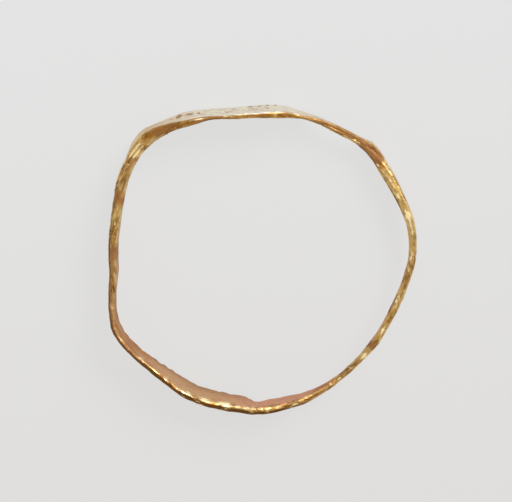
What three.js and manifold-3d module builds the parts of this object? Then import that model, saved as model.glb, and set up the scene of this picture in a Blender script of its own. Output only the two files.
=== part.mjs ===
// An old finger ring of hammered gold strip: a flattened bezel with two arms, and a hoop in two halves.
// Millimetres, +Z up. The ring lies flat with its bore upright and its back edge on z = 0.
// The origin is under the middle of the ring's footprint, and +Y points out of the bezel's face.
// A bearing is an angle round the bore's axis, from +Y towards -X, so the left half has positive bearings.
import * as THREE from 'three';
import { mergeVertices } from 'three/addons/utils/BufferGeometryUtils.js';
import Module from 'manifold-3d';

const wasm = await Module();
wasm.setup();

// Driving dimensions
const boreDiameter = 19.6;
const bezelWidth = 2.8;
const bezelLength = 7.4;
const bezelShift = 1.4;
const bezelSheet = 0.33;
const leftHoopWidth = 3.1;
const leftHoopSheet = 0.4;
const rightHoopWidth = 0.6;
const rightHoopRise = 1.35;
const rightHoopSheet = 0.46;
const leftLapLength = 2.9;
const rightLapLength = 3.5;
const leftShoulderWall = 0.66;
const rightShoulderWall = 0.73;
const solderLength = 1.9;
const solderCrown = 0.1;
const solderFeather = 0.05;
const solderSetback = 0.12;
const seamWidth = 0.16;
const seamBead = 0.05;
const jointGap = 0.02;
const edgeChamfer = 0.08;
const grooveDepth = 0.07;
const grooveLength = 0.9;
const grooveBorder = 0.5;

// Bearings of the landmarks, in degrees
const seamBearing = 173.6;
const leftArmEnd = 48;
const rightArmEnd = -48;
const stationStep = 2.5;

// Shapes as shares
const bezelSeatShare = 1.011;
const bezelFlatShare = 0.6;
const chamferLimitShare = 0.3;
const chevronCount = 7;

const boreRadius = boreDiameter / 2;
const bezelSeat = boreRadius * bezelSeatShare;
const bezelFace = bezelSeat + bezelSheet;

const radians = THREE.MathUtils.degToRad;
const fullTurn = 360;

// The angle that a length takes up along the bore.
const arcAngle = (length) => THREE.MathUtils.radToDeg(length / boreRadius);

// The bearing of a place on the bezel, from its distance past the bezel's middle as a share of half its length.
function bezelBearing(share) {
  const across = bezelShift + share * bezelLength / 2;
  return THREE.MathUtils.radToDeg(Math.atan2(across, bezelSeat));
}

// The bezel's flat stretch, and the tips of the hoop's two tongues that lap under its arms.
const flatLeft = bezelBearing(bezelFlatShare);
const flatRight = bezelBearing(-bezelFlatShare);
const leftTip = leftArmEnd - arcAngle(leftLapLength);
const rightTip = rightArmEnd + arcAngle(rightLapLength);
const solderAngle = arcAngle(solderLength);
const leftSolderEnd = leftArmEnd + solderAngle;
const rightSolderEnd = rightArmEnd - solderAngle;

// The bore's hammered outline: bearing, and reach as a share of the bore's radius.
const boreShares = [
  [seamBearing - fullTurn, 1.024],
  [-179, 1.012],
  [-167, 0.996],
  [-154, 0.974],
  [-142, 0.951],
  [-118, 0.939],
  [-106, 0.961],
  [-93, 1.000],
  [-81, 1.010],
  [-68, 0.996],
  [-58, 0.996],
  [-50, 1.017],
  [-44, 1.021],
  [-34, 1.010],
  [-20, 1.018],
  [-12, 1.008],
  [-4, 1.005],
  [7, 1.020],
  [15, 1.057],
  [20, 1.067],
  [24, 1.080],
  [30, 1.100],
  [36, 1.115],
  [42, 1.117],
  [50, 1.092],
  [60, 1.048],
  [69, 1.016],
  [78, 1.005],
  [90, 1.005],
  [100, 1.051],
  [110, 1.100],
  [117, 1.092],
  [128, 1.056],
  [137, 1.044],
  [146, 1.051],
  [156, 1.037],
  [165, 1.025],
  [seamBearing, 1.024],
];

// Each piece's profile: bearing, wall as a share of its sheet, and the low edge's rise and the width.
// Both are shares of the piece's own width, but the right half's rise has a size of its own.
const bezelShares = [
  [rightArmEnd, 2.05, 0.02, 0.48],
  [-46, 1.82, 0.12, 0.38],
  [-44, 1.60, 0.25, 0.25],
  [-41, 1.40, 0.29, 0.22],
  [-37, 1.42, 0.35, 0.19],
  [-33, 1.42, 0.39, 0.18],
  [-30, 1.27, 0.38, 0.22],
  [-27, 1.08, 0.32, 0.30],
  [-20, 0.72, 0.09, 0.59],
  [-16, 1.00, 0.04, 0.74],
  [bezelBearing(-1), 1.33, 0.01, 0.88],
  [bezelBearing(-0.8), 1.35, 0, 0.96],
  [bezelBearing(-0.6), 1.30, 0, 1],
  [bezelBearing(0.2), 1, 0, 1.04],
  [bezelBearing(0.6), 1.40, 0, 1.12],
  [bezelBearing(0.85), 1.62, 0, 1.10],
  [bezelBearing(1), 1.78, 0.12, 0.89],
  [31, 2.10, 0.33, 0.62],
  [34, 2.42, 0.37, 0.59],
  [37, 2.65, 0.26, 0.70],
  [40, 2.60, 0.12, 0.86],
  [44, 2.40, 0.06, 0.93],
  [leftArmEnd, 2.05, 0.16, 0.80],
];

const leftHoopShares = [
  [leftTip, 0.20, 0.40, 0.41],
  [38, 0.60, 0.27, 0.54],
  [leftArmEnd, 1.00, 0.23, 0.63],
  [leftSolderEnd, 1.60, 0.22, 0.66],
  [66, 1.46, 0.18, 0.73],
  [78, 1.25, 0.16, 0.74],
  [90, 1.05, 0.15, 0.73],
  [100, 0.92, 0.15, 0.76],
  [110, 0.72, 0.19, 0.80],
  [118, 0.66, 0.22, 0.79],
  [128, 0.80, 0.21, 0.76],
  [136, 0.80, 0.05, 0.96],
  [140, 0.84, 0, 1],
  [150, 0.92, 0, 0.98],
  [159, 1.10, 0, 0.91],
  [164, 1.12, 0.02, 0.88],
  [169, 1.08, 0.11, 0.81],
  [seamBearing, 1.04, 0.48, 0.46],
];

const rightHoopShares = [
  [seamBearing - fullTurn, 0.90, 1.10, 2.38],
  [-182, 0.93, 0.67, 3.10],
  [-176, 0.93, 0.70, 2.80],
  [-169, 0.89, 0.85, 2.25],
  [-161, 0.84, 1.00, 1.30],
  [-154, 0.78, 1.07, 0.70],
  [-142, 0.78, 1.07, 0.70],
  [-130, 1.00, 1.04, 0.83],
  [-118, 0.92, 0.96, 0.92],
  [-105, 0.90, 0.85, 1.00],
  [-92, 0.90, 0.72, 1.17],
  [-78, 1.08, 0.55, 1.83],
  [-67, 1.28, 0.19, 2.42],
  [rightSolderEnd, 1.40, 0, 2.50],
  [rightArmEnd, 0.85, 0, 2.37],
  [-44, 0.64, 0.48, 1.26],
  [-40, 0.42, 0.62, 0.93],
  [-33, 0.28, 0.80, 0.84],
  [rightTip, 0.17, 0.68, 1.29],
];

// The value of a table between its rows, on a smooth curve or on straight lines.
function tableReader(rows, Interpolant, settings) {
  const places = rows.map(([place]) => place);
  const values = rows.flatMap(([, ...columns]) => columns);
  const reader = new Interpolant(places, values, rows[0].length - 1);
  reader.settings = settings;
  return (place) => [...reader.evaluate(place)];
}

const closedCurve = { endingStart: THREE.WrapAroundEnding, endingEnd: THREE.WrapAroundEnding };
const readBore = tableReader(boreShares, THREE.CubicInterpolant, closedCurve);
const readBezel = tableReader(bezelShares, THREE.LinearInterpolant);
const readLeftHoop = tableReader(leftHoopShares, THREE.LinearInterpolant);
const readRightHoop = tableReader(rightHoopShares, THREE.LinearInterpolant);

const boreReach = (bearing) => boreRadius * readBore(bearing)[0];

// Wall and edges in millimetres, from a row of shares.
function profile([wallShare, riseShare, widthShare], sheet, width, rise = width) {
  const low = riseShare * rise;
  return { wall: wallShare * sheet, low, high: low + widthShare * width };
}

const leftProfile = (bearing) => profile(readLeftHoop(bearing), leftHoopSheet, leftHoopWidth);
const bezelProfile = (bearing) => profile(readBezel(bearing), bezelSheet, bezelWidth);

function rightProfile(bearing) {
  return profile(readRightHoop(bearing), rightHoopSheet, rightHoopWidth, rightHoopRise);
}

// Stations that all the pieces share, so that lapped faces bend at the same bearings.
function sharedStations() {
  const stations = new Set([leftTip, rightTip, flatLeft, flatRight, leftSolderEnd, rightSolderEnd]);
  for (let bearing = seamBearing - fullTurn; bearing < seamBearing; bearing += stationStep) {
    stations.add(bearing);
  }
  for (const table of [bezelShares, leftHoopShares, rightHoopShares]) {
    table.forEach(([bearing]) => stations.add(bearing));
  }
  return [...stations].sort((a, b) => a - b);
}

const stations = sharedStations();

const stationsBetween = (from, to) => [from, ...stations.filter((bearing) => bearing > from && bearing < to), to];

// The corners of a strip's chamfered section, as reach and height.
function sectionCorners({ inner, outer, low, high }) {
  const chamfer = Math.min(edgeChamfer, (outer - inner) * chamferLimitShare);
  return [
    [inner + chamfer, low],
    [outer - chamfer, low],
    [outer, low + chamfer],
    [outer, high - chamfer],
    [outer - chamfer, high],
    [inner + chamfer, high],
    [inner, high - chamfer],
    [inner, low + chamfer],
  ];
}

// A closed body through the sections at the given bearings.
function loftStrip(bearings, sectionAt) {
  const positions = [];
  const index = [];
  const sides = sectionCorners(sectionAt(bearings[0])).length;
  bearings.forEach((bearing) => {
    const angle = radians(bearing);
    sectionCorners(sectionAt(bearing)).forEach(([reach, height]) => {
      positions.push(-reach * Math.sin(angle), reach * Math.cos(angle), height);
    });
  });
  for (let ring = 0; ring < bearings.length - 1; ring += 1) {
    for (let side = 0; side < sides; side += 1) {
      const here = ring * sides + side;
      const beside = ring * sides + (side + 1) % sides;
      index.push(here, here + sides, beside + sides, here, beside + sides, beside);
    }
  }
  const lastRing = (bearings.length - 1) * sides;
  for (let corner = 1; corner < sides - 1; corner += 1) {
    index.push(0, corner, corner + 1);
    index.push(lastRing, lastRing + corner + 1, lastRing + corner);
  }
  const geometry = new THREE.BufferGeometry();
  geometry.setAttribute('position', new THREE.Float32BufferAttribute(positions, 3));
  geometry.setIndex(index);
  return geometry;
}

function toSolid(geometry) {
  const bare = geometry.clone();
  bare.deleteAttribute('normal');
  bare.deleteAttribute('uv');
  const merged = mergeVertices(bare);
  const vertProperties = new Float32Array(merged.attributes.position.array);
  return new wasm.Manifold(new wasm.Mesh({ numProp: 3, vertProperties, triVerts: new Uint32Array(merged.index.array) }));
}

function toGeometry(solid) {
  const { vertProperties, triVerts } = solid.getMesh();
  const geometry = new THREE.BufferGeometry();
  geometry.setAttribute('position', new THREE.BufferAttribute(vertProperties, 3));
  geometry.setIndex(new THREE.BufferAttribute(triVerts, 1));
  return geometry;
}

function goldMesh(name, geometry, color, roughness) {
  const mesh = new THREE.Mesh(geometry, new THREE.MeshStandardMaterial({ color, roughness, metalness: 1 }));
  mesh.name = name;
  return mesh;
}

// A four-sided cutter whose lower edge sinks to the groove's depth in the bezel's face.
function grooveCutter(startX, startZ, endX, endZ) {
  const along = new THREE.Vector3(endX - startX, 0, endZ - startZ);
  const length = along.length();
  along.normalize();
  const normal = new THREE.Vector3(0, 1, 0);
  const across = new THREE.Vector3().crossVectors(along, normal);
  const place = new THREE.Matrix4().makeBasis(across, along, normal);
  place.setPosition((startX + endX) / 2, bezelFace, (startZ + endZ) / 2);
  return new THREE.CylinderGeometry(grooveDepth, grooveDepth, length, 4).applyMatrix4(place);
}

// A row of chevrons between two border lines, cut into the bezel's flat stretch.
function bezelGrooves() {
  const left = -bezelFace * Math.tan(radians(flatLeft)) + grooveBorder;
  const right = -bezelFace * Math.tan(radians(flatRight)) - grooveBorder;
  const middle = bezelWidth / 2;
  const pitch = (right - left) / chevronCount;
  const cutters = [];
  for (const side of [-1, 1]) {
    const height = middle + side * (middle - grooveBorder);
    cutters.push(grooveCutter(left, height, right, height));
  }
  for (let chevron = 0; chevron < chevronCount; chevron += 1) {
    const start = left + chevron * pitch;
    const tip = start + pitch / 2;
    const end = start + pitch;
    const foot = middle - grooveLength / 2;
    cutters.push(grooveCutter(start, foot, tip, foot + grooveLength));
    cutters.push(grooveCutter(tip, foot + grooveLength, end, foot));
  }
  return cutters;
}

// How far the bezel's arms stand off the bore's outline, to clear the tongues that they lap over.
function lapRise(bearing) {
  if (bearing >= leftTip) {
    return leftProfile(bearing).wall + jointGap;
  }
  return bearing <= rightTip ? rightProfile(bearing).wall + jointGap : 0;
}

// The bezel and its two arms, with a flat stretch in its outer face.
function bezelBand() {
  const strip = loftStrip(stationsBetween(rightArmEnd, leftArmEnd), (bearing) => {
    const bore = boreReach(bearing);
    const onFlat = bearing >= flatRight && bearing <= flatLeft;
    const { wall, low, high } = bezelProfile(bearing);
    const outer = onFlat ? bezelFace / Math.cos(radians(bearing)) : bore + wall;
    return { inner: bore + lapRise(bearing), outer, low, high };
  });
  const cutters = bezelGrooves().map(toSolid);
  const engraved = toSolid(strip).subtract(wasm.Manifold.union(cutters));
  return goldMesh('bezel_band', toGeometry(engraved), 0xd9a94e, 0.3);
}

// Half the hoop, as one strip from its tongue's tip to the seam at the base.
function hoopHalf(name, from, to, profileAt, color, roughness) {
  const geometry = loftStrip(stationsBetween(from, to), (bearing) => {
    const bore = boreReach(bearing);
    const { wall, low, high } = profileAt(bearing);
    return { inner: bore, outer: bore + wall, low, high };
  });
  return goldMesh(name, geometry, color, roughness);
}

// The solder that fills the step between an arm's end and the hoop, crowned, and thinning to a feather edge.
function shoulderSolder(name, { armEnd, solderEnd, shoulderWall, profileAt, color }) {
  const direction = Math.sign(solderEnd - armEnd);
  const start = armEnd + direction * arcAngle(jointGap);
  const [from, to] = [start, solderEnd].sort((a, b) => a - b);
  const geometry = loftStrip(stationsBetween(from, to), (bearing) => {
    const run = (bearing - start) / (solderEnd - start);
    const { wall, low, high } = profileAt(bearing);
    const bore = boreReach(bearing);
    const inner = bore + wall + jointGap;
    const crest = Math.max(bore + shoulderWall, inner + solderFeather);
    const outer = THREE.MathUtils.lerp(crest, inner + solderFeather, run) + solderCrown * Math.sin(Math.PI * run);
    return { inner, outer, low: low + solderSetback, high: high - solderSetback };
  });
  return goldMesh(name, geometry, color, 0.55);
}

// The solder between the hoop's two ends, standing a little proud of them outside.
function baseSeamSolder() {
  const half = arcAngle(seamWidth / 2);
  const start = leftProfile(seamBearing);
  const end = rightProfile(seamBearing - fullTurn);
  const low = Math.max(start.low, end.low);
  const high = Math.min(start.high, end.high);
  const wall = Math.min(start.wall, end.wall) + seamBead;
  const inner = boreReach(seamBearing);
  const geometry = loftStrip([seamBearing - half, seamBearing + half], () => ({ inner, outer: inner + wall, low, high }));
  return goldMesh('base_seam_solder', geometry, 0xb5793f, 0.6);
}

const seamHalf = arcAngle(seamWidth / 2 + jointGap);
const leftJoint = {
  armEnd: leftArmEnd,
  solderEnd: leftSolderEnd,
  shoulderWall: leftShoulderWall,
  profileAt: leftProfile,
  color: 0xc98d42,
};
const rightJoint = {
  armEnd: rightArmEnd,
  solderEnd: rightSolderEnd,
  shoulderWall: rightShoulderWall,
  profileAt: rightProfile,
  color: 0xa8663a,
};

const ring = new THREE.Group();
ring.add(bezelBand());
ring.add(hoopHalf('left_hoop', leftTip, seamBearing - seamHalf, leftProfile, 0xd6a24a, 0.34));
ring.add(hoopHalf('right_hoop', seamBearing - fullTurn + seamHalf, rightTip, rightProfile, 0xcf9a48, 0.36));
ring.add(shoulderSolder('left_shoulder_solder', leftJoint));
ring.add(shoulderSolder('right_shoulder_solder', rightJoint));
ring.add(baseSeamSolder());

const footprint = new THREE.Box3().setFromObject(ring).getCenter(new THREE.Vector3());
ring.position.set(-footprint.x, -footprint.y, 0);

export default ring;
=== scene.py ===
"""An old finger ring of hammered gold strip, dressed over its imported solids.

The ring lies flat on a pale studio floor with its bore upright. Each solid has a piece that stands
for it: a fine copy, which Geometry Nodes hammer, nick, pit and engrave. Two beads of solder are
drawn beside them. Metres throughout, +Z up, +Y out of the bezel. Bearings are in degrees round the
bore, 0 at the bezel and growing towards -X.
"""
from __future__ import annotations

import logging
import math
from dataclasses import asdict, dataclass, fields
from enum import Enum
from functools import partialmethod
from typing import ClassVar, Iterable, Mapping, Sequence, Union

import bmesh
import bpy
import numpy as np
from bpy.types import ID, Material, Mesh, Node, NodeSocket, NodeTree, Object, World
from mathutils import Color, Matrix, Vector

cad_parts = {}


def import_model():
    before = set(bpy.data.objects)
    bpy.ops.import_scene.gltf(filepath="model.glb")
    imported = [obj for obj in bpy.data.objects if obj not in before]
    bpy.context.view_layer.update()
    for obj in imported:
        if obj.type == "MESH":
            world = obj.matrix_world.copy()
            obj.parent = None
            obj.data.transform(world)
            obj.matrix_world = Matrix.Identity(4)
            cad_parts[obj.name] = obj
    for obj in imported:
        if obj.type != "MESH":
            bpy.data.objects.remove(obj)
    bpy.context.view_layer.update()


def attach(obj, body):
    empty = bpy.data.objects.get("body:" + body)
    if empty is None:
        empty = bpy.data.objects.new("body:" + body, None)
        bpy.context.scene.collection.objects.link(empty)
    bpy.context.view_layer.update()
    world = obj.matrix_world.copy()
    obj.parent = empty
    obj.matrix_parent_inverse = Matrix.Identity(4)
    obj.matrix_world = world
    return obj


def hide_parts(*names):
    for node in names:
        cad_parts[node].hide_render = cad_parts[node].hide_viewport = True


Value = Union["Wire", Material, float, int, tuple]
Colour = tuple[float, float, float]

MM = 0.001
CENTRE = np.array([0.11, 0.103]) * MM  # The bore's middle.
FLOOR_WEAR = 0.25  # How much is left of what hammering pushes below the floor.
FLOW_REACH = 10 * MM  # How far out lengths along the strip are measured.
SEED_SHIFT = (0.137, 0.071, 0.093)  # How far one step of a seed moves a texture.
DRAWN_OUT = (0.42, 1.0, 1.0)  # Marks along the strip are longer than they are wide.
NOISE_MIDDLE = 0.5
NOISE_SPAN = 2.0  # Spreads a noise about its middle over -1 to 1.
PLAIN, SMOOTH, FINE = (2.0, 0.5), (1.0, 0.5), (3.0, 0.5)  # A noise's detail and roughness.
STREAKY, CLOUDY, RUGGED, TORN = (3.0, 0.6), (4.0, 0.6), (3.0, 0.65), (4.0, 0.65)
SCRATCHY = (5.0, 0.7)

FLOAT = "NodeSocketFloat"
INTEGER = "NodeSocketInt"
VECTOR = "NodeSocketVector"
GEOMETRY = "NodeSocketGeometry"
MATERIAL = "NodeSocketMaterial"

log = logging.getLogger("ring")


def linear(*levels: int) -> Colour:
    """Returns a screen colour of three levels, 0 to 255, as the linear colour that shaders take."""
    return tuple(Color([level / 255 for level in levels]).from_srgb_to_scene_linear())


def label(name: str) -> str:
    """Turns the name of a field into the name of a node's input."""
    return name.replace("_", " ").title()


def pick(sockets: Sequence[NodeSocket], name: str | int) -> NodeSocket:
    """Finds a socket by number, or by name among those that the node's settings switch on."""
    named = (socket for socket in sockets if socket.enabled and socket.name == name)
    return sockets[name] if isinstance(name, int) else next(named)


class Wire:
    """A node's output that can be reckoned with: each sign adds a Math node to its graph."""

    def __init__(self, graph: Graph, socket: NodeSocket) -> None:
        """Takes the graph and the output."""
        self.graph = graph
        self.socket = socket

    def math(self, operation: str, *others: Value) -> Wire:
        """Returns what a Math node makes of this and the others."""
        return self.graph.math(operation, self, *others)

    def __rsub__(self, other: Value) -> Wire:
        """Returns the other less this."""
        return self.graph.math("SUBTRACT", other, self)

    def __rtruediv__(self, other: Value) -> Wire:
        """Returns the other divided by this."""
        return self.graph.math("DIVIDE", other, self)

    __add__ = partialmethod(math, "ADD")
    __sub__ = partialmethod(math, "SUBTRACT")
    __mul__ = partialmethod(math, "MULTIPLY")
    __truediv__ = partialmethod(math, "DIVIDE")
    __mod__ = partialmethod(math, "MODULO")
    __abs__ = partialmethod(math, "ABSOLUTE")
    __neg__ = partialmethod(math, "MULTIPLY", -1.0)
    most = partialmethod(math, "MAXIMUM")
    least = partialmethod(math, "MINIMUM")

    def dot(self, other: Value) -> Wire:
        """Returns the dot product of the two vectors."""
        inputs = {0: self, 1: other}
        return self.graph.out("ShaderNodeVectorMath", inputs, "Value", operation="DOT_PRODUCT")

    def ramp(self, low: Value, high: Value, at_low: Value = 0.0, at_high: Value = 1.0) -> Wire:
        """Eases the value from one range into another and clamps it.

        Args:
            low: The value that gives at_low.
            high: The value that gives at_high.
            at_low: The result at low.
            at_high: The result at high.

        Returns:
            The eased result.
        """
        ends = {"From Min": low, "From Max": high, "To Min": at_low, "To Max": at_high}
        inputs = {"Value": self, **ends}
        return self.graph.out(
            "ShaderNodeMapRange", inputs, "Result", interpolation_type="SMOOTHSTEP"
        )

    def noise(self, scale: Value, kind: tuple[float, float] = PLAIN) -> Wire:
        """Returns a noise value, 0 to 1, at this vector."""
        inputs = {"Vector": self, "Scale": scale, "Detail": kind[0], "Roughness": kind[1]}
        return self.graph.out("ShaderNodeTexNoise", inputs)

    def cells(self, scale: Value) -> Wire:
        """Returns how far this vector is from the nearest cell's middle."""
        return self.graph.out("ShaderNodeTexVoronoi", {"Vector": self, "Scale": scale}, "Distance")


class Graph:
    """A node tree with short calls for adding nodes and linking them."""

    def __init__(self, tree: NodeTree) -> None:
        """Empties the tree that is to be filled."""
        self.tree = tree
        tree.nodes.clear()

    def add(
        self, kind: str, inputs: Mapping[str | int, Value] | None = None, **settings: object
    ) -> Node:
        """Adds a node, sets it up and connects its inputs.

        Args:
            kind: The node's type name.
            inputs: What goes into each input, by name or number: a wire, or a plain value.
            **settings: Properties of the node itself.

        Returns:
            The new node.
        """
        node = self.tree.nodes.new(kind)
        for name, value in settings.items():
            setattr(node, name, value)
        for name, value in (inputs or {}).items():
            self.feed(pick(node.inputs, name), value)
        return node

    def out(
        self,
        kind: str,
        inputs: Mapping[str | int, Value] | None = None,
        output: str | int = 0,
        **settings: object,
    ) -> Wire:
        """Adds a node and returns one of its outputs, by name or number."""
        return Wire(self, pick(self.add(kind, inputs, **settings).outputs, output))

    def feed(self, socket: NodeSocket, value: Value) -> None:
        """Links or sets one input.

        Args:
            socket: The input to feed.
            value: A wire to link, or a plain value.
        """
        if isinstance(value, Wire):
            self.tree.links.new(value.socket, socket)
        elif socket.type == "RGBA":
            socket.default_value = (*value, 1.0)
        elif socket.type == "VECTOR" and isinstance(value, float):
            socket.default_value = (value, value, value)
        else:
            socket.default_value = value

    def math(self, operation: str, *values: Value) -> Wire:
        """Adds a Math node, or a Vector Math node where one of the values is a vector.

        Args:
            operation: What the node does.
            *values: What goes in.

        Returns:
            The node's result.
        """
        vectors = [
            value.socket.type == "VECTOR" if isinstance(value, Wire) else isinstance(value, tuple)
            for value in values
        ]
        kind = "ShaderNodeVectorMath" if any(vectors) else "ShaderNodeMath"
        return self.out(kind, dict(enumerate(values)), operation=operation)

    def blend(self, factor: Value, first: Value, second: Value) -> Wire:
        """Returns a colour between two others."""
        inputs = {"Factor": factor, "A": first, "B": second}
        return self.out("ShaderNodeMix", inputs, "Result", data_type="RGBA")

    def surface(self, shader: Node) -> None:
        """Makes a shader the surface of the tree's material."""
        self.add("ShaderNodeOutputMaterial", {"Surface": Wire(self, shader.outputs[0])})


class Group(Graph):
    """A node group, whose inputs are read and outputs are fed by name."""

    def __init__(
        self, name: str, kind: str, inputs: Mapping[str, str], outputs: Mapping[str, str]
    ) -> None:
        """Makes the group with its inputs and outputs.

        Args:
            name: The group's name.
            kind: ShaderNodeTree or GeometryNodeTree.
            inputs: The socket type of each input.
            outputs: The socket type of each output.
        """
        super().__init__(bpy.data.node_groups.new(name, kind))
        for way, sockets in (("INPUT", inputs), ("OUTPUT", outputs)):
            for title, socket_type in sockets.items():
                self.tree.interface.new_socket(name=title, in_out=way, socket_type=socket_type)
        self.source = self.tree.nodes.new("NodeGroupInput")
        self.result = self.tree.nodes.new("NodeGroupOutput")

    def __getitem__(self, name: str) -> Wire:
        """Returns one of the group's inputs."""
        return Wire(self, self.source.outputs[name])

    def __setitem__(self, name: str, value: Value) -> None:
        """Feeds one of the group's outputs."""
        self.feed(self.result.inputs[name], value)


class Attribute(str, Enum):
    """The point attributes that the geometry keeps for the finishes."""

    EDGE = "edge"
    HOLLOW = "hollow"
    OUTWARD = "outward"
    UPWARD = "upward"
    ENGRAVED = "engraved"
    RUST = "rust"
    # The painted rim: shade along the front edge's outer side, a white highlight on the bezel.
    RIM = "rim"
    # A painted highlight.
    SHINE = "shine"
    DEEP = "deep"
    PINK = "pink"
    # Tints the outer face's painted reflection.
    WARM = "warm"
    # Painted glints of highlight colour.
    GLINT = "glint"
    # Stains, and on the right hoop's inner edge lines of painted shade.
    STAIN = "stain"
    ACROSS = "across"
    HEIGHT = "height"
    FLOW = "flow"


def add_object(name: str, data: ID) -> Object:
    """Makes an object of a mesh, lamp or camera and links it to the scene."""
    made = bpy.data.objects.new(name, data)
    bpy.context.scene.collection.objects.link(made)
    return made


def keep_evaluated(piece: Object) -> None:
    """Replaces a piece's mesh with its evaluated mesh and removes its modifiers."""
    depsgraph = bpy.context.evaluated_depsgraph_get()
    made = bpy.data.meshes.new_from_object(
        piece.evaluated_get(depsgraph), preserve_all_data_layers=True, depsgraph=depsgraph
    )
    old = piece.data
    piece.modifiers.clear()
    piece.data = made
    made.name = piece.name
    bpy.data.meshes.remove(old)


def read_places(mesh: Mesh) -> np.ndarray:
    """Returns a mesh's points as rows of x, y and z."""
    places = np.empty(len(mesh.vertices) * 3)
    mesh.vertices.foreach_get("co", places)
    return places.reshape(-1, 3)


def write_places(mesh: Mesh, places: np.ndarray) -> None:
    """Moves a mesh's points to rows of x, y and z."""
    mesh.vertices.foreach_set("co", places.ravel())
    mesh.update()


@dataclass(frozen=True)
class Settings:
    """What a Geometry Nodes tree takes, one input for each field."""

    @classmethod
    def sockets(cls) -> dict[str, str]:
        """Returns the socket type of each input."""
        return {
            label(item.name): INTEGER if isinstance(item.default, int) else FLOAT
            for item in fields(cls)
        }

    def inputs(self) -> dict[str, float]:
        """Returns the value of each input."""
        return {label(name): value for name, value in asdict(self).items()}


class GeometryTree(Group):
    """A Geometry Nodes tree that works on a mesh and gives it its material."""

    NAME: ClassVar[str]
    SETTINGS: ClassVar[type[Settings]]

    def __init__(self) -> None:
        """Builds the tree, which ends in smooth faces, real instances and the material."""
        inputs = {"Geometry": GEOMETRY, **self.SETTINGS.sockets(), "Material": MATERIAL}
        super().__init__(self.NAME, "GeometryNodeTree", inputs, {"Geometry": GEOMETRY})
        worked = self.work(self["Geometry"])
        smooth = self.out("GeometryNodeSetShadeSmooth", {"Geometry": worked})
        real = self.out("GeometryNodeRealizeInstances", {"Geometry": smooth})
        inputs = {"Geometry": real, "Material": self["Material"]}
        self["Geometry"] = self.out("GeometryNodeSetMaterial", inputs)

    def work(self, geometry: Wire) -> Wire:
        """Returns the geometry with what this kind of tree does to it."""
        raise NotImplementedError

    def run(self, piece: Object, settings: Settings, material: Material) -> None:
        """Runs the tree on a piece and keeps the result as its plain mesh.

        Args:
            piece: The object whose mesh is replaced.
            settings: The tree's own inputs.
            material: What the result is made of.
        """
        modifier = piece.modifiers.new(self.tree.name, "NODES")
        modifier.node_group = self.tree
        values = {**settings.inputs(), "Material": material}
        for item in self.tree.interface.items_tree:
            if item.name in values:
                modifier[item.identifier] = values[item.name]
        keep_evaluated(piece)

    def position(self) -> Wire:
        """Returns the points' places."""
        return self.out("GeometryNodeInputPosition")

    def normal(self) -> Wire:
        """Returns the points' normals."""
        return self.out("GeometryNodeInputNormal")

    def shift(self) -> Wire:
        """Returns how far the seed moves the textures."""
        return self["Seed"] * SEED_SHIFT

    def per(self, size: str) -> Wire:
        """Returns the texture scale for the feature size of that name."""
        return 1.0 / self[size]

    def vector(self, **axes: Value) -> Wire:
        """Returns a vector that is 0 along the axes that aren't given."""
        return self.out("ShaderNodeCombineXYZ", axes)

    def blur(self, vector: Wire, steps: Wire) -> Wire:
        """Returns a vector averaged with its neighbours, over and over."""
        inputs = {"Value": vector, "Iterations": steps}
        return self.out("GeometryNodeBlurAttribute", inputs, "Value", data_type="FLOAT_VECTOR")

    def store(self, geometry: Wire, name: Attribute, value: Wire) -> Wire:
        """Keeps a number on every point under a name and returns the geometry."""
        inputs = {"Geometry": geometry, "Name": name.value, "Value": value}
        return self.out(
            "GeometryNodeStoreNamedAttribute", inputs, data_type="FLOAT", domain="POINT"
        )

    def kept(self, name: Attribute, kind: str = "FLOAT") -> Wire:
        """Returns what was kept on the points under a name, a number or a vector."""
        inputs = {"Name": name.value}
        return self.out("GeometryNodeInputNamedAttribute", inputs, "Attribute", data_type=kind)

    def flow(self, stretch: tuple[float, float, float]) -> Wire:
        """Returns each point's place along, through and up the strip, stretched."""
        return self.kept(Attribute.FLOW, "FLOAT_VECTOR") * stretch

    def move(self, geometry: Wire, **places: Wire) -> Wire:
        """Moves the points to a position or by an offset and returns the geometry."""
        inputs = {label(name): place for name, place in places.items()}
        return self.out("GeometryNodeSetPosition", {"Geometry": geometry, **inputs})


@dataclass(frozen=True)
class HammerMarks(Settings):
    """How hard a piece was hammered and how worn it is. Lengths are in metres."""

    swell: float = 0.011 * MM
    facet_size: float = 0.9 * MM
    facet_depth: float = 0.035 * MM
    ripple_size: float = 1.6 * MM
    ripple_depth: float = 0.03 * MM
    dent_size: float = 0.34 * MM
    dent_depth: float = 0.045 * MM
    face_share: float = 0.35
    pit_size: float = 0.17 * MM
    pit_depth: float = 0.018 * MM
    nick_size: float = 0.3 * MM
    nick_depth: float = 0.035 * MM
    notch_size: float = 0.55 * MM
    notch_depth: float = 0.04 * MM
    rounding: int = 3
    edge_steps: int = 14
    edge_scale: float = 0.02 * MM
    seed: float = 1.0


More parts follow.
